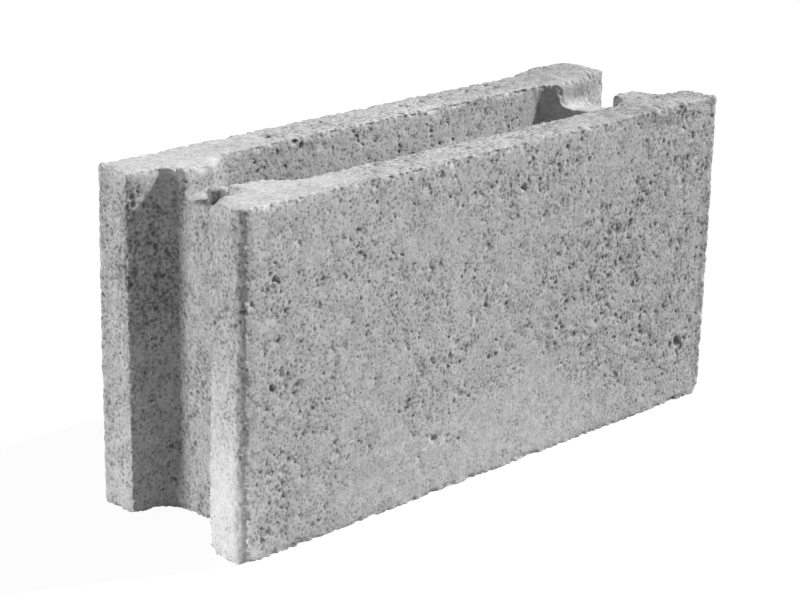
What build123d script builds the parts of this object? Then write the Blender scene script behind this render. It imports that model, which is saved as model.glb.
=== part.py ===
"""Hollow concrete shuttering block, cast in one piece.

Two long walls are joined by two webs that stand back from the ends. Between the walls there is
one through cavity with haunched corners, each end has a full-height groove, and the top of each
web is notched for a reinforcing bar. The origin is at the middle of the foot, +X runs along the
block, +Y across it and +Z up. Sizes are in millimetres, and inner sizes are given at the foot,
where the tapered mould cores leave the concrete thickest.
"""

from build123d import *
from math import atan, degrees
import os

# Overall size
length = 500.0
width = 150.0
height = 250.0

# Long walls, webs and the cavity between them
wall_thickness = 34.0
web_thickness = 29.0
haunch_radius = 30.0

# Grooves in the two ends
groove_depth = 32.5
tip_thickness = 33.0
root_thickness = 36.5
root_radius = 10.0

# Notches in the tops of the webs
notch_width = 50.0
notch_depth = 19.0
notch_side_lean = 1.5
notch_radius = 8.0

# Mould draft and arrises
core_draft = 1.5
corner_chamfer = 4.0
groove_mouth_chamfer = 2.0

# How far a cutting tool runs past the surface that it opens
overrun = 5.0

# Largest share of the room beside it that a rounding may take
haunch_share = 0.45
root_share = 0.45
notch_share = 0.6

# How closely an edge must lie on a plane to be found there, and the least share of the height
# that a standing edge spans
nearness = 0.01
standing_share = 0.9

# Dependent sizes
cavity_length = length - 2 * (groove_depth + web_thickness)
cavity_width = width - 2 * wall_thickness
haunch = min(haunch_radius, haunch_share * cavity_width)
draft_angle = degrees(atan(core_draft / height))
web_face = length / 2 - groove_depth
mouth_half_width = width / 2 - tip_thickness
root_half_width = width / 2 - root_thickness
groove_flare = (mouth_half_width - root_half_width) / groove_depth
root_fillet = min(root_radius, root_share * root_half_width)
notch_fillet = min(notch_radius, notch_share * notch_depth)


def outer_block():
    """The full outside of the block, with its four standing corners chamfered."""
    block = Box(length, width, height, align=(Align.CENTER, Align.CENTER, Align.MIN))
    return chamfer(block.edges().filter_by(Axis.Z), corner_chamfer)


def cavity_core():
    """The tapered core of the cavity, whose rounded corners leave the haunches."""
    plan = RectangleRounded(cavity_length, cavity_width, haunch)
    return extrude(plan, amount=height + overrun, taper=-draft_angle)


def groove_core():
    """The tapered core of the groove in the +X end, flared towards its mouth."""
    outside = length / 2 + overrun
    outside_half_width = mouth_half_width + overrun * groove_flare
    plan = make_face(
        Polyline(
            (web_face, -root_half_width),
            (outside, -outside_half_width),
            (outside, outside_half_width),
            (web_face, root_half_width),
            close=True,
        )
    )
    root_corners = plan.vertices().group_by(Axis.X)[0]
    plan = fillet(root_corners, root_fillet)
    return extrude(plan, amount=height + overrun, taper=-draft_angle)


def notch_channel():
    """The channel that notches both webs, drawn across the block and run along its length."""
    floor = height - notch_depth
    rise = notch_depth + overrun
    lean = notch_side_lean / notch_depth
    floor_half_width = notch_width / 2 - notch_side_lean
    rim_half_width = floor_half_width + lean * rise
    profile = Plane.YZ * make_face(
        Polyline(
            (-floor_half_width, floor),
            (floor_half_width, floor),
            (rim_half_width, floor + rise),
            (-rim_half_width, floor + rise),
            close=True,
        )
    )
    profile = fillet(profile.vertices().group_by(Axis.Z)[0], notch_fillet)
    return extrude(profile, amount=length / 2 + overrun, both=True)


def groove_mouth_edges(block):
    """The four standing edges where the grooves open into the end faces."""
    inner_limit = width / 2 - corner_chamfer - nearness
    return [
        edge
        for edge in block.edges()
        if abs(abs(edge.center().X) - length / 2) < nearness
        and abs(edge.center().Y) < inner_limit
        and edge.length > standing_share * height
    ]


def shuttering_block():
    """The finished block: the outside less its cavity, its two grooves and its notches."""
    groove = groove_core()
    block = outer_block() - cavity_core() - groove - mirror(groove, Plane.YZ)
    block = block - notch_channel()
    block = chamfer(groove_mouth_edges(block), groove_mouth_chamfer)
    block.label = "shuttering_block"
    return block


block = shuttering_block()
os.makedirs("parts", exist_ok=True)
export_step(block, "parts/shuttering_block.step")
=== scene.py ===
"""Looks of a hollow concrete shuttering block, cast in one piece.

The block is modelled as a maker would shape it: an outside, a cavity core, two groove cores and a
notch channel. It is then worn: chips are broken out, lumps are left on, and the open grain of
pressed dry-mix concrete is cut into its skin. All sizes are in metres, in the frame of the CAD.
"""

import logging
import math
from contextlib import contextmanager
from dataclasses import dataclass, field
from enum import Enum
from typing import Callable, Iterator, Union

import bmesh
import bpy
from mathutils import Matrix, Vector


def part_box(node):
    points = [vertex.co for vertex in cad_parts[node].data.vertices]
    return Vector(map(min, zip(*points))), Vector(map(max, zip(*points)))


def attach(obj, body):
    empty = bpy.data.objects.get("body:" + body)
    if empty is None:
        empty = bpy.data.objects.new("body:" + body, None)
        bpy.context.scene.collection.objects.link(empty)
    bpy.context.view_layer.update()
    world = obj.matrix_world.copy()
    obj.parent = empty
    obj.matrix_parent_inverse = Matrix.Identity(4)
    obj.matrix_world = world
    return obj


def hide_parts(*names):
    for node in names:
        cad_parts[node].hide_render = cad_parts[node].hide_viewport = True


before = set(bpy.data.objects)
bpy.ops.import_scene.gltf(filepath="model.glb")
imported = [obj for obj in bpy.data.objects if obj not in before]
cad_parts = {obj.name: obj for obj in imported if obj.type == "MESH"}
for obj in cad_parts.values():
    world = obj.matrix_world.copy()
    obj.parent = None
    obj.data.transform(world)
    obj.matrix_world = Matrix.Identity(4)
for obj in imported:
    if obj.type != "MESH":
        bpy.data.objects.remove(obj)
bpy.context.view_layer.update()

NODE = "shuttering_block"
SLOT = "cast_concrete"
BODY = "root"
MILLIMETRE = 0.001

# The share of a zone's reach within which it has its full strength
ZONE_HEART = 0.35

PORE_KINDS = ("Specks", "Pits", "Crevices", "Holes")

Feed = Union[float, tuple, bpy.types.NodeSocket]


class BlockEnd(Enum):
    """The two ends of the block, by the sign of X."""

    NEAR = -1
    FAR = 1


class TreeKind(Enum):
    """Where a field of the concrete is used: in its colour or in its shape."""

    SHADER = "ShaderNodeTree"
    GEOMETRY = "GeometryNodeTree"


class Cut(Enum):
    """How a shaped piece meets the block."""

    AWAY = "DIFFERENCE"
    ON = "UNION"


class Form(Enum):
    """The rough shape of a break: a rounded pebble or a squarish shard."""

    PEBBLE = "pebble"
    SHARD = "shard"


# Hand tools


def deselect_all() -> None:
    """Leave edit mode and select nothing."""
    if bpy.context.object and bpy.context.object.mode != "OBJECT":
        bpy.ops.object.mode_set(mode="OBJECT")
    bpy.ops.object.select_all(action="DESELECT")


def pick(piece: bpy.types.Object) -> None:
    """Select one piece alone and make it active.

    Args:
        piece: The piece to work on.
    """
    deselect_all()
    piece.select_set(True)
    bpy.context.view_layer.objects.active = piece


@contextmanager
def editing(piece: bpy.types.Object) -> Iterator[None]:
    """Hold a piece in edit mode with nothing of it selected.

    Args:
        piece: The piece to shape.
    """
    pick(piece)
    bpy.ops.object.mode_set(mode="EDIT")
    bpy.ops.mesh.select_all(action="DESELECT")
    yield
    bpy.ops.object.mode_set(mode="OBJECT")


def select_edges(piece: bpy.types.Object, wanted: Callable[[Vector, Vector], bool]) -> None:
    """Select the edges that a test wants, in edit mode.

    Args:
        piece: The piece in edit mode.
        wanted: A test of an edge's two ends.
    """
    bpy.ops.mesh.select_all(action="DESELECT")
    bpy.ops.mesh.select_mode(type="EDGE")
    shell = bmesh.from_edit_mesh(piece.data)
    for edge in shell.edges:
        edge.select_set(wanted(edge.verts[0].co, edge.verts[1].co))
    bmesh.update_edit_mesh(piece.data)


def select_corners(piece: bpy.types.Object, wanted: Callable[[Vector], bool]) -> None:
    """Select the corners that a test wants, in edit mode.

    Args:
        piece: The piece in edit mode.
        wanted: A test of a corner's place.
    """
    bpy.ops.mesh.select_all(action="DESELECT")
    bpy.ops.mesh.select_mode(type="VERT")
    shell = bmesh.from_edit_mesh(piece.data)
    for corner in shell.verts:
        corner.select_set(wanted(corner.co))
    shell.select_flush(True)
    bmesh.update_edit_mesh(piece.data)


def mirror_to_near_end() -> None:
    """Mirror the whole piece in edit mode from the far end of the block to the near one."""
    bpy.ops.mesh.select_all(action="SELECT")
    bpy.ops.transform.resize(value=(-1, 1, 1), center_override=(0, 0, 0))
    bpy.ops.mesh.normals_make_consistent(inside=False)


def add_box(name: str, low: Vector, high: Vector) -> bpy.types.Object:
    """Add a box at its size and place, with its place in its mesh.

    Args:
        name: The new piece's name.
        low: Its lowest corner.
        high: Its highest corner.

    Returns:
        The new piece.
    """
    deselect_all()
    bpy.ops.mesh.primitive_cube_add(size=1.0, location=(low + high) / 2)
    piece = bpy.context.object
    piece.scale = high - low
    bpy.ops.object.transform_apply(location=True, rotation=True, scale=True)
    piece.name = name
    return piece


def apply_modifier(piece: bpy.types.Object, modifier: bpy.types.Modifier) -> None:
    """Apply one modifier to its piece.

    Args:
        piece: The piece that holds the modifier.
        modifier: The modifier.
    """
    pick(piece)
    bpy.ops.object.modifier_apply(modifier=modifier.name)


def combine(piece: bpy.types.Object, other: bpy.types.Object, cut: Cut) -> None:
    """Cut another piece away from this one, or join it on, and remove the other.

    Args:
        piece: The piece that stays.
        other: The piece that is used up.
        cut: Whether it is cut away or joined on.
    """
    modifier = piece.modifiers.new("combine", "BOOLEAN")
    modifier.operation = cut.value
    modifier.solver = "EXACT"
    modifier.object = other
    apply_modifier(piece, modifier)
    bpy.data.objects.remove(other)


# Node sheets


@dataclass
class NodeSheet:
    """A node tree with short names for the few nodes that concrete needs."""

    tree: bpy.types.NodeTree

    def add(self, kind: str, **settings: object) -> bpy.types.Node:
        """Add one node.

        Args:
            kind: The node's type.
            settings: Its properties.

        Returns:
            The node.
        """
        node = self.tree.nodes.new(kind)
        for name, value in settings.items():
            setattr(node, name, value)
        return node

    def feed(self, socket: bpy.types.NodeSocket, value: Feed) -> None:
        """Link a socket to another, or set its own value.

        Args:
            socket: The input to feed.
            value: An output, or a plain value.
        """
        if isinstance(value, bpy.types.NodeSocket):
            self.tree.links.new(value, socket)
        else:
            socket.default_value = value

    def math(self, operation: str, first: Feed, second: Feed = 0.0) -> bpy.types.NodeSocket:
        """Work out one operation on two numbers.

        Args:
            operation: The operation's name.
            first: The first number.
            second: The second number.

        Returns:
            The result.
        """
        node = self.add("ShaderNodeMath", operation=operation)
        self.feed(node.inputs[0], first)
        self.feed(node.inputs[1], second)
        return node.outputs[0]

    def vector(self, operation: str, first: Feed, second: Feed) -> bpy.types.NodeSocket:
        """Work out one operation on two vectors.

        Args:
            operation: The operation's name.
            first: The first vector.
            second: The second vector.

        Returns:
            The result, a number for a distance and a vector otherwise.
        """
        node = self.add("ShaderNodeVectorMath", operation=operation)
        self.feed(node.inputs[0], first)
        self.feed(node.inputs[1], second)
        return node.outputs["Value" if operation == "DISTANCE" else "Vector"]

    def noise(self, place: Feed, size: float, detail: float, roughness: float) -> bpy.types.NodeSocket:
        """A cloudy field from 0 to 1.

        Args:
            place: Where it is read.
            size: The size of its clouds.
            detail: How many finer clouds are added.
            roughness: How strong the finer clouds are.

        Returns:
            The field's value.
        """
        node = self.add("ShaderNodeTexNoise", noise_dimensions="3D")
        self.feed(node.inputs["Vector"], place)
        node.inputs["Scale"].default_value = 1.0 / size
        node.inputs["Detail"].default_value = detail
        node.inputs["Roughness"].default_value = roughness
        return node.outputs[0]

    def cells(self, place: Feed, size: float, feature: str = "F1") -> bpy.types.Node:
        """Random cells, such as grains of gravel.

        Args:
            place: Where they are read.
            size: The usual size of a cell.
            feature: What is measured of a cell.

        Returns:
            The node of the cells.
        """
        node = self.add("ShaderNodeTexVoronoi", voronoi_dimensions="3D", feature=feature)
        self.feed(node.inputs["Vector"], place)
        node.inputs["Scale"].default_value = 1.0 / size
        return node

    def chance(self, cells: bpy.types.Node) -> bpy.types.NodeSocket:
        """One random number for each cell, from 0 to 1.

        Args:
            cells: The node of the cells.

        Returns:
            The number.
        """
        split = self.add("ShaderNodeSeparateXYZ")
        self.tree.links.new(cells.outputs["Color"], split.inputs[0])
        return split.outputs[0]

    def step(
        self, value: Feed, start: float, end: float, low: float = 0.0, high: float = 1.0
    ) -> bpy.types.NodeSocket:
        """A smooth step from low to high.

        Args:
            value: The value that makes the step.
            start: Where the step starts.
            end: Where it ends.
            low: The result before the step.
            high: The result after it.

        Returns:
            The result.
        """
        node = self.add("ShaderNodeMapRange", interpolation_type="SMOOTHSTEP")
        self.feed(node.inputs["Value"], value)
        node.inputs["From Min"].default_value = start
        node.inputs["From Max"].default_value = end
        node.inputs["To Min"].default_value = low
        node.inputs["To Max"].default_value = high
        return node.outputs[0]

    def warp(self, place: Feed, size: float, reach: float) -> bpy.types.NodeSocket:
        """Move a place about, so that what is read there looks irregular.

        Args:
            place: The place.
            size: The size of the swirls.
            reach: How far a place is moved at most.

        Returns:
            The moved place.
        """
        node = self.add("ShaderNodeTexNoise", noise_dimensions="3D")
        self.feed(node.inputs["Vector"], place)
        node.inputs["Scale"].default_value = 1.0 / size
        node.inputs["Detail"].default_value = 1.0
        centred = self.vector("SUBTRACT", node.outputs["Color"], (0.5, 0.5, 0.5))
        scaled = self.vector("MULTIPLY", centred, (2 * reach, 2 * reach, 2 * reach))
        return self.vector("ADD", place, scaled)


def new_group(name: str, kind: TreeKind, takes: dict[str, str], gives: dict[str, str]) -> NodeSheet:
    """Start a node group with named inputs and outputs.

    Args:
        name: The group's name.
        kind: Whether it is used in a material or in a shape.
        takes: Each input's name and socket type.
        gives: Each output's name and socket type.

    Returns:
        The sheet of the new group.
    """
    tree = bpy.data.node_groups.new(f"{name}_{kind.name.lower()}", kind.value)
    for socket, socket_type in takes.items():
        tree.interface.new_socket(name=socket, in_out="INPUT", socket_type=socket_type)
    for socket, socket_type in gives.items():
        tree.interface.new_socket(name=socket, in_out="OUTPUT", socket_type=socket_type)
    return NodeSheet(tree)


def swing(sheet: NodeSheet, value: Feed, amount: float) -> bpy.types.NodeSocket:
    """A field's difference from its middle, times an amount."""
    return sheet.math("MULTIPLY", sheet.math("SUBTRACT", value, 0.5), amount)


# Concrete


@dataclass(frozen=True)
class Zone:
    """A stretch of the block, an ellipsoid, where its skin differs, or where light and shade are painted on
    it.
    """

    centre: tuple[float, float, float]
    reach: tuple[float, float, float]
    strength: float

    def build(self, sheet: NodeSheet, place: Feed) -> bpy.types.NodeSocket:
        """The zone's strength, which fades towards the zone's edge.

        Args:
            sheet: The sheet to build on.
            place: Where the strength is read.

        Returns:
            The strength.
        """
        away = sheet.vector("SUBTRACT", place, self.centre)
        share = sheet.vector("DIVIDE", away, self.reach)
        distance = sheet.vector("DISTANCE", share, (0.0, 0.0, 0.0))
        return sheet.step(distance, ZONE_HEART, 1.0, self.strength, 0.0)


@dataclass(frozen=True)
class OpenGrain:
    """The pores of dry-mix concrete: specks, pits, crevices round the gravel, and holes.

    It is built as a node group, once for the shape and once for the colour, so that the painted
    shade of a pore lies where the surface is sunk.
    """

    # The usual distance between neighbouring pores or grains
    sand: float = 0.0030
    fines: float = 0.0066
    gravel: float = 0.0105
    hollow: float = 0.022
    # The size and the reach of the swirls that make the pores irregular
    sand_swirl: tuple[float, float] = (0.003, 0.0010)
    fines_swirl: tuple[float, float] = (0.004, 0.0024)
    gravel_swirl: tuple[float, float] = (0.006, 0.0020)
    hollow_swirls: tuple[tuple[float, float], ...] = ((0.012, 0.0050), (0.005, 0.0030))
    # The line that a field has to pass on a closed skin and on an open one, and its ramp
    speck_line: tuple[float, float] = (0.72, 0.27)
    speck_ramp: float = 0.42
    pit_line: tuple[float, float] = (1.00, 0.54)
    pit_ramp: float = 0.20
    crevice_line: tuple[float, float] = (0.80, 0.55)
    crevice_ramp: float = 0.08
    # The size and the roughness of the patches that have crevices
    crevice_patch: float = 0.008
    crevice_patch_roughness: float = 0.5
    # Where a crevice or a hole starts to fade and where it ends, as a share of a cell's size
    crevice_edge: tuple[float, float] = (0.01, 0.10)
    hole_edge: tuple[float, float] = (0.05, 0.17)
    # The odds at which a cell starts to hold a hole and at which it holds one in full
    hole_odds: tuple[float, float] = (1.10, 1.18)
    hole_openness: float = 0.45
    # The usual openness of the skin, and how its broad and its close patches swing it
    usual_openness: float = 0.58
    patch_roughness: float = 0.6
    broad_patch: float = 0.045
    broad_swing: float = 0.9
    close_patch: float = 0.014
    close_swing: float = 1.4
    closed_zones: tuple[Zone, ...] = (
        Zone((-0.262, -0.060, 0.010), (0.030, 0.060, 0.130), 0.40),
        Zone((0.000, -0.085, 0.020), (0.230, 0.040, 0.080), 0.27),
        Zone((0.180, 0.030, 0.240), (0.045, 0.045, 0.060), 0.45),
        Zone((-0.200, 0.060, 0.258), (0.120, 0.060, 0.030), 0.60),
        Zone((-0.200, -0.050, 0.258), (0.090, 0.050, 0.020), 0.35),
    )
    open_zones: tuple[Zone, ...] = (
        Zone((-0.235, 0.042, 0.170), (0.040, 0.030, 0.060), 0.26),
        Zone((-0.130, 0.042, 0.235), (0.060, 0.012, 0.030), 0.12),
        Zone((0.170, -0.075, 0.110), (0.130, 0.040, 0.130), 0.12),
        Zone((-0.240, 0.000, 0.150), (0.040, 0.100, 0.150), 0.03),
    )

    def build(self, kind: TreeKind) -> bpy.types.NodeTree:
        """Build the group of the pores.

        Args:
            kind: Whether it is used in a material or in a shape.

        Returns:
            The node group, which takes a place and gives each kind of pore.
        """
        number = "NodeSocketFloat"
        gives = {name: number for name in PORE_KINDS}
        sheet = new_group("open_grain", kind, {"Place": "NodeSocketVector"}, gives)
        place = sheet.add("NodeGroupInput").outputs["Place"]
        openness = self.openness(sheet, place)
        end = sheet.add("NodeGroupOutput")
        sheet.feed(end.inputs["Specks"], self.specks(sheet, place, openness))
        sheet.feed(end.inputs["Pits"], self.pits(sheet, place, openness))
        sheet.feed(end.inputs["Crevices"], self.crevices(sheet, place, openness))
        sheet.feed(end.inputs["Holes"], self.holes(sheet, place, openness))
        return sheet.tree

    def openness(self, sheet: NodeSheet, place: Feed) -> bpy.types.NodeSocket:
        """How far the paste has left the grain open.

        Args:
            sheet: The sheet to build on.
            place: Where it is read.

        Returns:
            The openness, from 0 to 1.
        """
        broad = sheet.noise(place, self.broad_patch, 2.0, self.patch_roughness)
        close = sheet.noise(place, self.close_patch, 2.0, self.patch_roughness)
        value = sheet.math("ADD", self.usual_openness, swing(sheet, broad, self.broad_swing))
        value = sheet.math("ADD", value, swing(sheet, close, self.close_swing))
        for zone in self.closed_zones:
            value = sheet.math("SUBTRACT", value, zone.build(sheet, place))
        for zone in self.open_zones:
            value = sheet.math("ADD", value, zone.build(sheet, place))
        return sheet.math("MINIMUM", sheet.math("MAXIMUM", value, 0.0), 1.0)

    def above(
        self, sheet: NodeSheet, value: Feed, openness: Feed, line: tuple[float, float], ramp: float
    ) -> bpy.types.NodeSocket:
        """Where a field rises above a line that falls as the skin opens.

        Args:
            sheet: The sheet to build on.
            value: The field.
            openness: How open the skin is.
            line: The line on a closed skin and on an open one.
            ramp: How far above the line the field counts in full.

        Returns:
            The share from 0 to 1.
        """
        fall = sheet.math("MULTIPLY", openness, line[0] - line[1])
        level = sheet.math("SUBTRACT", line[0], fall)
        return sheet.step(sheet.math("SUBTRACT", value, level), 0.0, ramp)

    def middles(self, sheet: NodeSheet, place: Feed, size: float) -> bpy.types.NodeSocket:
        """A field that rises to 1 at the middle of each of many random cells."""
        return sheet.math("SUBTRACT", 1.0, sheet.cells(place, size).outputs["Distance"])

    def specks(self, sheet: NodeSheet, place: Feed, openness: Feed) -> bpy.types.NodeSocket:
        """Fine separate pores between the grains of sand."""
        near = self.middles(sheet, sheet.warp(place, *self.sand_swirl), self.sand)
        return self.above(sheet, near, openness, self.speck_line, self.speck_ramp)

    def pits(self, sheet: NodeSheet, place: Feed, openness: Feed) -> bpy.types.NodeSocket:
        """Irregular separate pores between the grains of fine gravel."""
        near = self.middles(sheet, sheet.warp(place, *self.fines_swirl), self.fines)
        return self.above(sheet, near, openness, self.pit_line, self.pit_ramp)

    def crevices(self, sheet: NodeSheet, place: Feed, openness: Feed) -> bpy.types.NodeSocket:
        """Broken dark rings round the coarser grains.

        Args:
            sheet: The sheet to build on.
            place: Where they are read.
            openness: How open the skin is.

        Returns:
            The share from 0 to 1.
        """
        bent = sheet.warp(place, *self.gravel_swirl)
        border = sheet.cells(bent, self.gravel, "DISTANCE_TO_EDGE").outputs["Distance"]
        line = sheet.step(border, *self.crevice_edge, 1.0, 0.0)
        cloud = sheet.noise(place, self.crevice_patch, 1.0, self.crevice_patch_roughness)
        patches = self.above(sheet, cloud, openness, self.crevice_line, self.crevice_ramp)
        return sheet.math("MULTIPLY", line, patches)

    def holes(self, sheet: NodeSheet, place: Feed, openness: Feed) -> bpy.types.NodeSocket:
        """Rare deep holes where gravel has bridged.

        Args:
            sheet: The sheet to build on.
            place: Where they are read.
            openness: How open the skin is.

        Returns:
            The share from 0 to 1.
        """
        bent = place
        for swirl in self.hollow_swirls:
            bent = sheet.warp(bent, *swirl)
        cells = sheet.cells(bent, self.hollow)
        odds = sheet.math("ADD", sheet.chance(cells), sheet.math("MULTIPLY", openness, self.hole_openness))
        chosen = sheet.step(odds, *self.hole_odds)
        hole = sheet.step(cells.outputs["Distance"], *self.hole_edge, 1.0, 0.0)
        return sheet.math("MULTIPLY", chosen, hole)


@dataclass(frozen=True)
class Mottle:
    """One cloudy unevenness of the concrete's tone and of its fine height.

    Its clouds are drawn out upwards where upright is less than 1.
    """

    size: float
    detail: float
    roughness: float
    tone_swing: float
    height: float = 0.0
    upright: float = 1.0

    def build(self, sheet: NodeSheet, place: Feed) -> bpy.types.NodeSocket:
        """The unevenness as a field from 0 to 1."""
        drawn = sheet.vector("MULTIPLY", place, (1.0, 1.0, self.upright))
        return sheet.noise(drawn, self.size, self.detail, self.roughness)


@dataclass(frozen=True)
class PoreLook:
    """How one kind of pore darkens the concrete with painted shade and sinks its fine height."""

    kind: str
    shade: float
    sink: float


@dataclass(frozen=True)
class CastConcrete:
    """The finish of vibro-pressed concrete: matt neutral grey, pored, speckled and streaked, with painted
    shade in its pores and painted light and shade in some zones.
    """

    grain: OpenGrain
    tone: float = 0.458
    roughness: float = 0.88
    sheen: float = 0.3
    bump_distance: float = 0.8 * MILLIMETRE
    bump_strength: float = 0.32
    # The grains of sand, the mottled paste, the streaks of the mould and the broad clouds
    mottles: tuple[Mottle, ...] = (
        Mottle(0.0026, 2.0, 0.65, 0.52, height=0.35),
        Mottle(0.0085, 3.0, 0.65, 0.38, height=0.30),
        Mottle(0.0026, 2.0, 0.60, 0.18, upright=0.16),
        Mottle(0.0350, 2.0, 0.55, 0.14),
    )
    pore_looks: tuple[PoreLook, ...] = (
        PoreLook("Specks", 0.46, 0.5),
        PoreLook("Pits", 0.48, 0.8),
        PoreLook("Crevices", 0.20, 0.6),
        PoreLook("Holes", 0.72, 1.0),
    )
    # Zones made paler, most of them painted light: painted bounce light near the foot, painted light in the
    # cavity, and a paler skin at the near end
    pale_skin_and_painted_light_zones: tuple[Zone, ...] = (
        # Paler foot of the near end of the front wall: partly a smoother, paler skin and partly painted
        # bounce light from the floor
        Zone((-0.262, -0.062, 0.000), (0.026, 0.050, 0.210), 0.34),
        # Paler foot of the near end: painted bounce light from the floor
        Zone((-0.250, 0.000, -0.010), (0.050, 0.120, 0.140), 0.17),
        # Paler foot of the front face: painted bounce light from the floor
        Zone((0.000, -0.085, 0.010), (0.200, 0.040, 0.080), 0.05),
        # Paler top at the near end: partly a smoother, paler skin and partly painted light from the side
        # lamps
        Zone((-0.230, 0.000, 0.262), (0.170, 0.120, 0.030), 0.08),
        # Paler back wall of the cavity: painted light inside the cavity
        Zone((0.060, 0.041, 0.210), (0.180, 0.020, 0.110), 0.07),
        # Paler far web inside the cavity: painted fill light where the cavity lies in shade
        Zone((0.190, 0.000, 0.210), (0.040, 0.060, 0.120), 0.20),
    )
    # Zones made duller, most of them painted shade: painted shade in the near groove and in both notches,
    # and some broad stretches made duller
    dull_skin_and_painted_shade_zones: tuple[Zone, ...] = (
        # Duller web face in the near groove: painted shade in the groove
        Zone((-0.222, 0.000, 0.190), (0.012, 0.060, 0.140), 0.03),
        # Duller tops towards the far end: partly a rougher skin and partly painted shade for the light
        # falling off along the tops
        Zone((0.200, 0.000, 0.262), (0.260, 0.160, 0.030), 0.10),
        # Duller upper part of the back wall's near end
        Zone((-0.250, 0.060, 0.230), (0.016, 0.040, 0.100), 0.05),
        # Duller foot of the near groove's back side: painted shade in the groove
        Zone((-0.235, 0.040, 0.020), (0.030, 0.012, 0.080), 0.05),
        # Duller front face towards the far end
        Zone((0.200, -0.085, 0.140), (0.260, 0.040, 0.160), 0.03),
        # Duller lump in the near notch: painted shade on it
        Zone((-0.207, 0.000, 0.234), (0.011, 0.014, 0.011), 0.25),
        # Duller shard at the front of the near notch: painted shade on it
        Zone((-0.213, -0.024, 0.242), (0.007, 0.008, 0.009), 0.14),
        # Duller notch in the far web: painted shade over its sunlit rim
        Zone((0.200, 0.010, 0.240), (0.034, 0.040, 0.016), 0.21),
        # Duller corner between the near notch and the cavity's back wall: painted shade over a sunlit ridge
        Zone((-0.182, 0.026, 0.241), (0.012, 0.010, 0.024), 0.13),
    )

    def skin_group(self) -> bpy.types.NodeTree:
        """Build the group of the skin's colour, with its painted light and shade.

        Returns:
            A node group that takes a place and the pores and gives a colour and a fine height.
        """
        number = "NodeSocketFloat"
        takes = {"Place": "NodeSocketVector"}
        takes.update({name: number for name in PORE_KINDS})
        gives = {"Colour": "NodeSocketColor", "Height": number}
        sheet = new_group("concrete_skin", TreeKind.SHADER, takes, gives)
        start = sheet.add("NodeGroupInput")
        place = start.outputs["Place"]
        tone = self.tone
        height = 0.0
        for mottle in self.mottles:
            field_value = mottle.build(sheet, place)
            tone = sheet.math("ADD", tone, swing(sheet, field_value, mottle.tone_swing))
            height = sheet.math("ADD", height, sheet.math("MULTIPLY", field_value, mottle.height))
        # Paler zones, most of them painted light
        for zone in self.pale_skin_and_painted_light_zones:
            tone = sheet.math("ADD", tone, zone.build(sheet, place))
        # Duller zones, most of them painted shade
        for zone in self.dull_skin_and_painted_shade_zones:
            tone = sheet.math("SUBTRACT", tone, zone.build(sheet, place))
        # Each pore darkens the colour with painted shade and sinks the fine height
        for look in self.pore_looks:
            pore = start.outputs[look.kind]
            shade = sheet.math("SUBTRACT", 1.0, sheet.math("MULTIPLY", pore, look.shade))
            tone = sheet.math("MULTIPLY", tone, shade)
            height = sheet.math("SUBTRACT", height, sheet.math("MULTIPLY", pore, look.sink))
        colour = sheet.add("ShaderNodeCombineXYZ")
        for axis in range(3):
            sheet.feed(colour.inputs[axis], tone)
        end = sheet.add("NodeGroupOutput")
        sheet.feed(end.inputs["Colour"], colour.outputs[0])
        sheet.feed(end.inputs["Height"], height)
        return sheet.tree

    def material(self) -> bpy.types.Material:
        """Build the material of the cast concrete.

        Returns:
            The material.
        """
        concrete = bpy.data.materials.new(SLOT)
        concrete.use_nodes = True
        sheet = NodeSheet(concrete.node_tree)
        sheet.tree.nodes.clear()
        place = sheet.add("ShaderNodeTexCoord").outputs["Object"]
        pores = sheet.add("ShaderNodeGroup", node_tree=self.grain.build(TreeKind.SHADER))
        skin = sheet.add("ShaderNodeGroup", node_tree=self.skin_group())
        shader = sheet.add("ShaderNodeBsdfPrincipled")
        bump = sheet.add("ShaderNodeBump")
        output = sheet.add("ShaderNodeOutputMaterial")
        sheet.feed(pores.inputs["Place"], place)
        sheet.feed(skin.inputs["Place"], place)
        for kind in PORE_KINDS:
            sheet.feed(skin.inputs[kind], pores.outputs[kind])
        bump.inputs["Distance"].default_value = self.bump_distance
        bump.inputs["Strength"].default_value = self.bump_strength
        sheet.feed(bump.inputs["Height"], skin.outputs["Height"])
        sheet.feed(shader.inputs["Base Color"], skin.outputs["Colour"])
        sheet.feed(shader.inputs["Normal"], bump.outputs["Normal"])
        shader.inputs["Roughness"].default_value = self.roughness
        shader.inputs["Specular IOR Level"].default_value = self.sheen
        sheet.feed(output.inputs["Surface"], shader.outputs["BSDF"])
        return concrete


# The block


@dataclass(frozen=True)
class Break:
    """A spot where the block is chipped away or where a lump is left on."""

    name: str
    centre: tuple[float, float, float]
    radii: tuple[float, float, float]
    cut: Cut = Cut.AWAY
    roughness: float = 0.35
    form: Form = Form.PEBBLE
    turn: float = 0.0


@dataclass(frozen=True)
class Notch:
    """The notch in the top of one web, with its shift across the block and its corner radius."""

    end: BlockEnd
    shift: float
    radius: float


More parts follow.
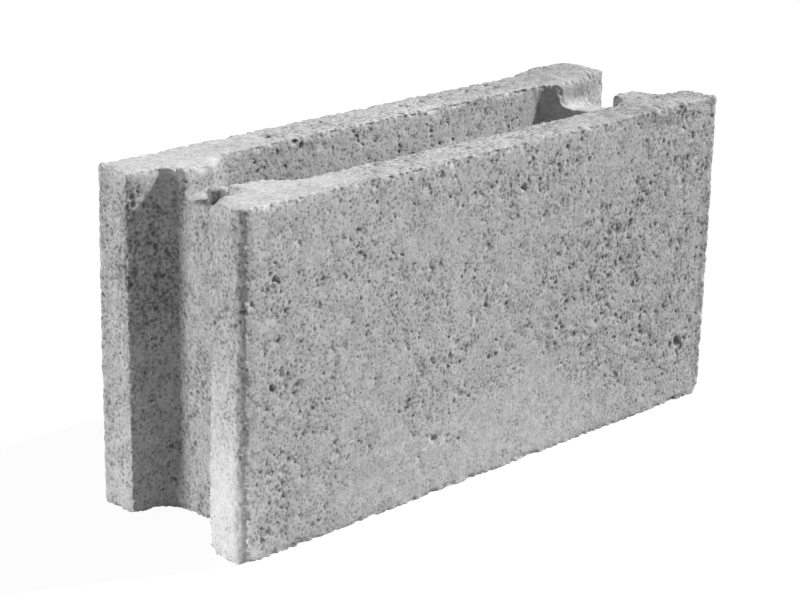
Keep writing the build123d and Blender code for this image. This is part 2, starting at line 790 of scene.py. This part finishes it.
@dataclass
class ShutteringBlock:
    """The whole block, one cast piece."""

    low: Vector
    high: Vector
    wall: float = 0.034
    web: float = 0.029
    haunch: float = 0.030
    groove_depth: float = 0.0325
    tip: float = 0.033
    root: float = 0.0365
    root_radius: float = 0.010
    notch_width: float = 0.050
    notch_depth: float = 0.019
    notch_lean: float = 0.0015
    notches: tuple[Notch, ...] = (Notch(BlockEnd.NEAR, 0.0, 0.003), Notch(BlockEnd.FAR, 0.0076, 0.008))
    draft: float = 0.0015
    corner_chamfer: float = 0.004
    overrun: float = 0.005
    haunch_segments: int = 12
    root_segments: int = 8
    notch_segments: int = 6
    shard_cuts: int = 8
    shard_rounding: float = 0.35
    dent_size: float = 0.6
    grid: float = 0.00125
    ease: float = 0.5
    triangles: int = 190_000
    breaks: tuple[Break, ...] = field(default_factory=tuple)

    def build(self, finish: CastConcrete) -> bpy.types.Object:
        """Shape, wear and dress the block.

        Args:
            finish: The concrete that it is cast in.

        Returns:
            The finished piece.
        """
        piece = self.outside()
        combine(piece, self.cavity_core(), Cut.AWAY)
        for end in BlockEnd:
            combine(piece, self.groove_core(end), Cut.AWAY)
        for notch in self.notches:
            combine(piece, self.notch_channel(notch), Cut.AWAY)
        arrises = self.arrises(piece)
        for spot in self.breaks:
            combine(piece, self.rubble(spot), spot.cut)
        self.regrid(piece)
        self.weather(piece, arrises, finish.grain)
        bpy.data.objects.remove(arrises)
        self.thin(piece)
        piece.data.materials.clear()
        piece.data.materials.append(finish.material())
        return piece

    def outside(self) -> bpy.types.Object:
        """Shape the full outside of the block, with its four standing corners chamfered.

        Returns:
            The outside.
        """
        piece = add_box("concrete_block", self.low, self.high)
        with editing(piece):
            select_edges(piece, lambda a, b: abs(a.z - b.z) > self.overrun)
            bpy.ops.mesh.bevel(offset=self.corner_chamfer, segments=1, affect="EDGES")
        return piece

    def core(self, name: str, half_length: float, half_width: float, radius: float) -> bpy.types.Object:
        """A round-cornered core that is tapered, so that it draws upwards out of the cast.

        Args:
            name: The core's name.
            half_length: Half its length at the foot.
            half_width: Half its width at the foot.
            radius: The radius of its standing corners.

        Returns:
            The core, standing through the block.
        """
        low = Vector((-half_length, -half_width, self.low.z))
        high = Vector((half_length, half_width, self.high.z))
        piece = add_box(name, low, high)
        with editing(piece):
            select_edges(piece, lambda a, b: abs(a.z - b.z) > self.overrun)
            bpy.ops.mesh.bevel(offset=radius, segments=self.haunch_segments, affect="EDGES")
            self.overshoot(piece, half_length, half_width)
        return piece

    def overshoot(self, piece: bpy.types.Object, half_length: float, half_width: float) -> None:
        """Lengthen a core past both ends of its height and spread its top by the draft.

        Args:
            piece: The core in edit mode.
            half_length: Half its length at the foot.
            half_width: Half its width at the foot.
        """
        lean = self.draft / (self.high.z - self.low.z)
        for level, sign in ((self.low.z, -1), (self.high.z, 1)):
            select_corners(piece, lambda corner: abs(corner.z - level) < MILLIMETRE)
            spread = lean * (level + sign * self.overrun - self.low.z)
            spread_size = (1 + spread / half_length, 1 + spread / half_width, 1)
            bpy.ops.transform.resize(value=spread_size, center_override=(0, 0, level))
            bpy.ops.transform.translate(value=(0, 0, sign * self.overrun))

    def cavity_core(self) -> bpy.types.Object:
        """The core of the cavity, whose round corners leave the haunches."""
        half_length = self.high.x - self.groove_depth - self.web
        return self.core("cavity_core", half_length, self.high.y - self.wall, self.haunch)

    def groove_core(self, end: BlockEnd) -> bpy.types.Object:
        """The core of the groove in one end, flared towards its mouth.

        Args:
            end: The end that the groove is in.

        Returns:
            The core, standing through the block.
        """
        face = self.high.x - self.groove_depth
        mouth = self.high.x + self.overrun
        root_half = self.high.y - self.root
        flare = (self.root - self.tip) / self.groove_depth
        mouth_half = root_half + flare * (mouth - face)
        low = Vector((face, -root_half, self.low.z - self.overrun))
        high = Vector((mouth, root_half, self.high.z + self.overrun))
        piece = add_box("groove_core", low, high)
        with editing(piece):
            select_corners(piece, lambda corner: corner.x > mouth - MILLIMETRE)
            flared = (1, mouth_half / root_half, 1)
            bpy.ops.transform.resize(value=flared, center_override=(mouth, 0, 0))
            select_edges(
                piece, lambda a, b: abs(a.z - b.z) > self.overrun and max(a.x, b.x) < face + MILLIMETRE
            )
            bpy.ops.mesh.bevel(offset=self.root_radius, segments=self.root_segments, affect="EDGES")
            select_corners(piece, lambda corner: corner.z > self.high.z)
            drawn = (1, 1 + self.draft / root_half, 1)
            bpy.ops.transform.resize(value=drawn, center_override=(0, 0, self.high.z))
            select_corners(piece, lambda corner: corner.z > self.high.z and corner.x < mouth - MILLIMETRE)
            bpy.ops.transform.translate(value=(-self.draft, 0, 0))
            if end is BlockEnd.NEAR:
                mirror_to_near_end()
        return piece

    def notch_channel(self, notch: Notch) -> bpy.types.Object:
        """The channel that notches the top of one web.

        Args:
            notch: Which web, how far the channel is shifted and how round its corners are.

        Returns:
            The channel, standing out of the block's top and end.
        """
        floor = self.high.z - self.notch_depth
        top = self.high.z + self.overrun
        half = self.notch_width / 2 - self.notch_lean
        lean = self.notch_lean / self.notch_depth
        inner = self.high.x - self.groove_depth - self.web - self.haunch
        low = Vector((inner, -half, floor))
        high = Vector((self.high.x + self.overrun, half, top))
        piece = add_box("notch_channel", low, high)
        with editing(piece):
            select_corners(piece, lambda corner: corner.z > top - MILLIMETRE)
            spread = 1 + lean * (top - floor) / half
            bpy.ops.transform.resize(value=(1, spread, 1), center_override=(0, 0, top))
            select_edges(
                piece, lambda a, b: max(a.z, b.z) < floor + MILLIMETRE and abs(a.x - b.x) > self.overrun
            )
            bpy.ops.mesh.bevel(offset=notch.radius, segments=self.notch_segments, affect="EDGES")
            bpy.ops.mesh.select_all(action="SELECT")
            bpy.ops.transform.translate(value=(0, notch.shift, 0))
            if notch.end is BlockEnd.NEAR:
                mirror_to_near_end()
        return piece

    def arrises(self, piece: bpy.types.Object) -> bpy.types.Object:
        """Copy the sharp block, as a guide to where its arrises are.

        Args:
            piece: The sharp block.

        Returns:
            The copy.
        """
        pick(piece)
        bpy.ops.object.duplicate()
        guide = bpy.context.object
        guide.name = "arris_guide"
        return guide

    def rubble(self, spot: Break) -> bpy.types.Object:
        """A rough stone-like lump that is broken out of the block or left on it.

        Args:
            spot: Where it is and how large.

        Returns:
            The lump.
        """
        deselect_all()
        if spot.form is Form.PEBBLE:
            bpy.ops.mesh.primitive_ico_sphere_add(subdivisions=4, radius=1.0, location=spot.centre)
            piece = bpy.context.object
        else:
            bpy.ops.mesh.primitive_cube_add(size=2.0, location=spot.centre)
            piece = bpy.context.object
            with editing(piece):
                bpy.ops.mesh.select_all(action="SELECT")
                bpy.ops.mesh.subdivide(number_cuts=self.shard_cuts)
            rounding = piece.modifiers.new("rounding", "CAST")
            rounding.factor = self.shard_rounding
            apply_modifier(piece, rounding)
            piece.rotation_euler.z = math.radians(spot.turn)
        piece.scale = spot.radii
        bpy.ops.object.transform_apply(location=True, rotation=True, scale=True)
        piece.name = spot.name
        clouds = bpy.data.textures.new(spot.name, "CLOUDS")
        clouds.noise_scale = self.dent_size * max(spot.radii)
        clouds.noise_depth = 3
        dents = piece.modifiers.new("dents", "DISPLACE")
        dents.texture = clouds
        dents.texture_coords = "GLOBAL"
        dents.strength = spot.roughness * 2 * min(spot.radii)
        apply_modifier(piece, dents)
        return piece

    def regrid(self, piece: bpy.types.Object) -> None:
        """Give the block an even fine grid and ease its arrises a little.

        Args:
            piece: The block.
        """
        remesh = piece.modifiers.new("regrid", "REMESH")
        remesh.mode = "VOXEL"
        remesh.voxel_size = self.grid
        remesh.adaptivity = 0.0
        apply_modifier(piece, remesh)
        ease = piece.modifiers.new("ease", "SMOOTH")
        ease.factor = self.ease
        ease.iterations = 1
        apply_modifier(piece, ease)

    def weather(self, piece: bpy.types.Object, arrises: bpy.types.Object, grain: OpenGrain) -> None:
        """Cut the pores and the crumbled arrises into the block's surface.

        Args:
            piece: The block on its fine grid.
            arrises: The sharp block.
            grain: The pores.
        """
        modifier = piece.modifiers.new("weather", "NODES")
        modifier.node_group = WeatheringNodes(arrises, grain).build()
        apply_modifier(piece, modifier)

    def thin(self, piece: bpy.types.Object) -> None:
        """Thin the grid where the surface is plain, and smooth its shading.

        Args:
            piece: The block.
        """
        piece.data.calc_loop_triangles()
        share = self.triangles / max(len(piece.data.loop_triangles), 1)
        thinning = piece.modifiers.new("thin", "DECIMATE")
        thinning.ratio = min(1.0, share)
        apply_modifier(piece, thinning)
        pick(piece)
        bpy.ops.object.shade_smooth()


@dataclass(frozen=True)
class Crumb:
    """One grade of the crumbling at the arrises: a cloudy field and where in it the concrete goes."""

    size: float
    detail: float
    start: float
    full: float
    share: float


@dataclass(frozen=True)
class WeatheringNodes:
    """The surface relief of the worn block, as geometry nodes."""

    arrises: bpy.types.Object
    grain: OpenGrain
    foot: float = 0.0
    arris_angle: float = math.radians(32)
    rim: float = 0.0050
    crumble: float = 0.0026
    crumbs: tuple[Crumb, ...] = (Crumb(0.012, 3.0, 0.48, 0.74, 0.65), Crumb(0.0045, 2.0, 0.42, 0.66, 0.45))
    crumb_roughness: float = 0.6
    wave_length: float = 0.040
    wave: float = 0.0012
    lift: float = 0.0004
    crevice_depth: float = 0.0006
    pit_depth: float = 0.0008
    hole_depth: float = 0.0026
    swells: tuple[Zone, ...] = (
        Zone((0.050, 0.078, 0.252), (0.330, 0.030, 0.022), 0.0012),
        Zone((0.212, 0.062, 0.254), (0.046, 0.045, 0.032), 0.0040),
        Zone((-0.216, 0.037, 0.000), (0.016, 0.016, 0.050), 0.0025),
        Zone((-0.252, 0.077, 0.125), (0.014, 0.014, 0.300), 0.0024),
        Zone((0.252, -0.077, 0.125), (0.014, 0.014, 0.300), 0.0018),
        Zone((0.185, -0.060, 0.254), (0.040, 0.040, 0.022), 0.0022),
    )

    def build(self) -> bpy.types.NodeTree:
        """Build the node group that sinks each point of the surface.

        Returns:
            The geometry node group.
        """
        geometry = "NodeSocketGeometry"
        sheet = new_group("weathering", TreeKind.GEOMETRY, {"Geometry": geometry}, {"Geometry": geometry})
        place = sheet.add("GeometryNodeInputPosition").outputs[0]
        normal = sheet.add("GeometryNodeInputNormal").outputs[0]
        pores = sheet.add("GeometryNodeGroup", node_tree=self.grain.build(TreeKind.GEOMETRY))
        sheet.feed(pores.inputs["Place"], place)
        sunk = sheet.math("MULTIPLY", pores.outputs["Crevices"], self.crevice_depth)
        sunk = sheet.math("ADD", sunk, sheet.math("MULTIPLY", pores.outputs["Pits"], self.pit_depth))
        sunk = sheet.math("ADD", sunk, sheet.math("MULTIPLY", pores.outputs["Holes"], self.hole_depth))
        sunk = sheet.math("ADD", sunk, self.crumbled(sheet, place))
        sunk = sheet.math("SUBTRACT", sunk, self.swollen(sheet, place))
        scale = sheet.add("ShaderNodeVectorMath", operation="SCALE")
        sheet.feed(scale.inputs[0], normal)
        sheet.feed(scale.inputs["Scale"], sheet.math("MULTIPLY", sunk, -1.0))
        move = sheet.add("GeometryNodeSetPosition")
        sheet.feed(move.inputs["Geometry"], sheet.add("NodeGroupInput").outputs[0])
        moved = sheet.vector("ADD", place, scale.outputs[0])
        sheet.feed(move.inputs["Position"], sheet.vector("MAXIMUM", moved, (-1.0, -1.0, self.foot)))
        sheet.feed(sheet.add("NodeGroupOutput").inputs[0], move.outputs[0])
        return sheet.tree

    def nearness(self, sheet: NodeSheet) -> bpy.types.NodeSocket:
        """How near a point is to a sharp arris.

        Args:
            sheet: The sheet to build on.

        Returns:
            The nearness, from 0 to 1.
        """
        guide = sheet.add("GeometryNodeObjectInfo")
        guide.inputs["Object"].default_value = self.arrises
        angle = sheet.add("GeometryNodeInputMeshEdgeAngle").outputs["Unsigned Angle"]
        blunt = sheet.math("LESS_THAN", angle, self.arris_angle)
        sharp = sheet.add("GeometryNodeDeleteGeometry", domain="EDGE", mode="EDGE_FACE")
        sheet.feed(sharp.inputs["Geometry"], guide.outputs["Geometry"])
        sheet.feed(sharp.inputs["Selection"], blunt)
        near = sheet.add("GeometryNodeProximity", target_element="EDGES")
        sheet.feed(near.inputs[0], sharp.outputs[0])
        return sheet.step(near.outputs["Distance"], 0.0, self.rim, 1.0, 0.0)

    def crumbled(self, sheet: NodeSheet, place: Feed) -> bpy.types.NodeSocket:
        """How deep the arrises have crumbled.

        Args:
            sheet: The sheet to build on.
            place: Where it is read.

        Returns:
            The depth.
        """
        bite = 0.0
        for crumb in self.crumbs:
            cloud = sheet.noise(place, crumb.size, crumb.detail, self.crumb_roughness)
            gone = sheet.step(cloud, crumb.start, crumb.full)
            bite = sheet.math("ADD", bite, sheet.math("MULTIPLY", gone, crumb.share))
        return sheet.math("MULTIPLY", sheet.math("MULTIPLY", bite, self.nearness(sheet)), self.crumble)

    def swollen(self, sheet: NodeSheet, place: Feed) -> bpy.types.NodeSocket:
        """How far the faces stand out, in gentle waves and in a few broad swells.

        Args:
            sheet: The sheet to build on.
            place: Where it is read.

        Returns:
            The height.
        """
        waves = swing(sheet, sheet.noise(place, self.wave_length, 2.0, 0.5), self.wave)
        height = sheet.math("ADD", waves, self.lift)
        for swell in self.swells:
            height = sheet.math("ADD", height, swell.build(sheet, place))
        return height


# The studio


@dataclass(frozen=True)
class Camera:
    """The camera, at the photograph's viewing angle."""

    place: tuple[float, float, float] = (-1.1200, -1.0838, 0.6384)
    heading: float = -45.214
    height_angle: float = 18.547
    roll: float = 1.259
    focal_length: float = 97.37
    film_width: float = 36.0

    def build(self) -> bpy.types.Object:
        """Add the camera and make it the scene's own.

        Returns:
            The camera.
        """
        data = bpy.data.cameras.new("camera")
        data.lens = self.focal_length
        data.sensor_width = self.film_width
        data.clip_end = 50.0
        camera = bpy.data.objects.new("camera", data)
        bpy.context.scene.collection.objects.link(camera)
        around = math.radians(self.heading)
        up = math.radians(self.height_angle)
        back = Vector((math.sin(around) * math.cos(up), -math.cos(around) * math.cos(up), math.sin(up)))
        right = Vector((math.cos(around), math.sin(around), 0.0))
        upward = back.cross(right)
        turn = math.radians(self.roll)
        rolled_right = math.cos(turn) * right + math.sin(turn) * upward
        rolled_up = math.cos(turn) * upward - math.sin(turn) * right
        axes = Matrix((rolled_right, rolled_up, back)).transposed()
        camera.matrix_world = Matrix.Translation(self.place) @ axes.to_4x4()
        bpy.context.scene.camera = camera
        return camera


@dataclass(frozen=True)
class Sun:
    """A far, small and strong key lamp, which draws crisp shadows."""

    towards: tuple[float, float, float] = (2.1, -1.0, 1.85)
    strength: float = 4.87
    spread: float = math.radians(2)

    def build(self) -> bpy.types.Object:
        """Add the lamp.

        Returns:
            The lamp.
        """
        data = bpy.data.lights.new("key_lamp", "SUN")
        data.energy = self.strength
        data.angle = self.spread
        lamp = bpy.data.objects.new("key_lamp", data)
        bpy.context.scene.collection.objects.link(lamp)
        lamp.rotation_euler = Vector(self.towards).to_track_quat("Z", "Y").to_euler()
        return lamp


@dataclass(frozen=True)
class Lamp:
    """A square soft lamp that looks at one point."""

    name: str
    place: tuple[float, float, float]
    size: float
    power: float
    target: tuple[float, float, float] = (-0.2, 0.0, 0.12)

    def build(self) -> bpy.types.Object:
        """Add the lamp.

        Returns:
            The lamp.
        """
        data = bpy.data.lights.new(self.name, "AREA")
        data.shape = "SQUARE"
        data.size = self.size
        data.energy = self.power
        lamp = bpy.data.objects.new(self.name, data)
        bpy.context.scene.collection.objects.link(lamp)
        aim = Vector(self.target) - Vector(self.place)
        lamp.location = self.place
        lamp.rotation_euler = aim.to_track_quat("-Z", "Y").to_euler()
        return lamp


@dataclass(frozen=True)
class Studio:
    """A white floor and world, with a key lamp and two soft lamps."""

    floor_half: float = 6.0
    bounce_tone: float = 0.35
    seen_tone: float = 0.10
    glow: float = 0.93
    world_level: float = 0.276
    key: Sun = Sun()
    lamps: tuple[Lamp, ...] = (
        Lamp("low_lamp", (-1.1, 0.56, 0.15), 0.3, 5.6),
        Lamp("back_lamp", (-2.2, 1.3, 0.8), 0.6, 13.4),
    )

    def build(self) -> None:
        """Set the floor, the world, the lamps and the view transform."""
        self.floor()
        self.world()
        self.key.build()
        for lamp in self.lamps:
            lamp.build()
        bpy.context.scene.view_settings.view_transform = "Standard"

    def seen(self, sheet: NodeSheet) -> bpy.types.NodeSocket:
        """One where a ray comes from the camera, a mirror or a glass.

        Args:
            sheet: The sheet to build on.

        Returns:
            One or nought.
        """
        rays = sheet.add("ShaderNodeLightPath")
        direct = sheet.math("MAXIMUM", rays.outputs["Is Camera Ray"], rays.outputs["Is Glossy Ray"])
        return sheet.math("MAXIMUM", direct, rays.outputs["Is Transmission Ray"])

    def floor(self) -> bpy.types.Object:
        """Add the floor, which looks white and keeps the block's shadow.

        Returns:
            The floor.
        """
        deselect_all()
        bpy.ops.mesh.primitive_plane_add(size=2 * self.floor_half)
        floor = bpy.context.object
        floor.name = "floor"
        paint = bpy.data.materials.new("white_floor")
        paint.use_nodes = True
        sheet = NodeSheet(paint.node_tree)
        sheet.tree.nodes.clear()
        bounce = sheet.add("ShaderNodeBsdfDiffuse")
        bounce.inputs["Color"].default_value = (self.bounce_tone,) * 3 + (1.0,)
        shown = sheet.add("ShaderNodeBsdfDiffuse")
        shown.inputs["Color"].default_value = (self.seen_tone,) * 3 + (1.0,)
        glow = sheet.add("ShaderNodeEmission")
        glow.inputs["Strength"].default_value = self.glow
        both = sheet.add("ShaderNodeAddShader")
        mix = sheet.add("ShaderNodeMixShader")
        output = sheet.add("ShaderNodeOutputMaterial")
        sheet.feed(both.inputs[0], shown.outputs[0])
        sheet.feed(both.inputs[1], glow.outputs[0])
        sheet.feed(mix.inputs[0], self.seen(sheet))
        sheet.feed(mix.inputs[1], bounce.outputs[0])
        sheet.feed(mix.inputs[2], both.outputs[0])
        sheet.feed(output.inputs["Surface"], mix.outputs[0])
        floor.data.materials.append(paint)
        return floor

    def world(self) -> None:
        """Set a soft white surround, which the camera sees as white."""
        surround = bpy.data.worlds.new("surround")
        surround.use_nodes = True
        bpy.context.scene.world = surround
        sheet = NodeSheet(surround.node_tree)
        seen = self.seen(sheet)
        hidden = sheet.math("MULTIPLY", sheet.math("SUBTRACT", 1.0, seen), self.world_level)
        background = sheet.tree.nodes["Background"]
        background.inputs["Color"].default_value = (1.0, 1.0, 1.0, 1.0)
        sheet.feed(background.inputs["Strength"], sheet.math("ADD", hidden, seen))


BREAKS = (
    Break("notch_lump", (-0.2030, 0.0020, 0.2340), (0.0050, 0.0068, 0.0062), Cut.ON, 0.5, Form.SHARD, 45),
    Break("notch_shard", (-0.2090, -0.0220, 0.2425), (0.0040, 0.0048, 0.0060), Cut.ON, 0.5, Form.SHARD, 45),
    Break("notch_crumb", (-0.2070, -0.0110, 0.2325), (0.0050, 0.0050, 0.0040), Cut.ON, 0.5, Form.SHARD, 30),
    Break("notch_crevice", (-0.2180, -0.0035, 0.2295), (0.0050, 0.0022, 0.0065)),
    Break("tip_chip", (-0.2530, -0.0410, 0.2530), (0.0180, 0.0090, 0.0080)),
    Break("tip_foot_chip", (-0.2500, -0.0400, 0.0000), (0.0080, 0.0080, 0.0060)),
    Break("foot_chip_near", (-0.2480, -0.0790, -0.0015), (0.0140, 0.0080, 0.0050)),
    Break("foot_chip_far", (0.2530, -0.0770, -0.0030), (0.0110, 0.0110, 0.0120)),
    Break("web_foot_chip_one", (-0.2200, 0.0150, -0.0020), (0.0060, 0.0050, 0.0050)),
    Break("web_foot_chip_two", (-0.2200, -0.0030, -0.0020), (0.0060, 0.0060, 0.0060)),
    Break("top_dent_one", (-0.1200, -0.0600, 0.2530), (0.0100, 0.0070, 0.0050)),
    Break("top_dent_two", (-0.1050, -0.0500, 0.2530), (0.0070, 0.0080, 0.0050)),
    Break("inner_arris_pit", (0.0450, 0.0410, 0.2500), (0.0060, 0.0030, 0.0040)),
)


def main() -> None:
    """Build the block, then the studio, and report each piece."""
    logging.basicConfig(level=logging.INFO, format="%(name)s: %(message)s")
    log = logging.getLogger("shuttering_block")
    low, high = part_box(NODE)
    block = ShutteringBlock(low, high, breaks=BREAKS)
    piece = block.build(CastConcrete(OpenGrain()))
    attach(piece, BODY)
    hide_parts(NODE)
    log.info("%s has %d faces", piece.name, len(piece.data.polygons))
    Studio().build()
    Camera().build()
    log.info("camera and studio are set")


if __name__ == "__main__":
    main()
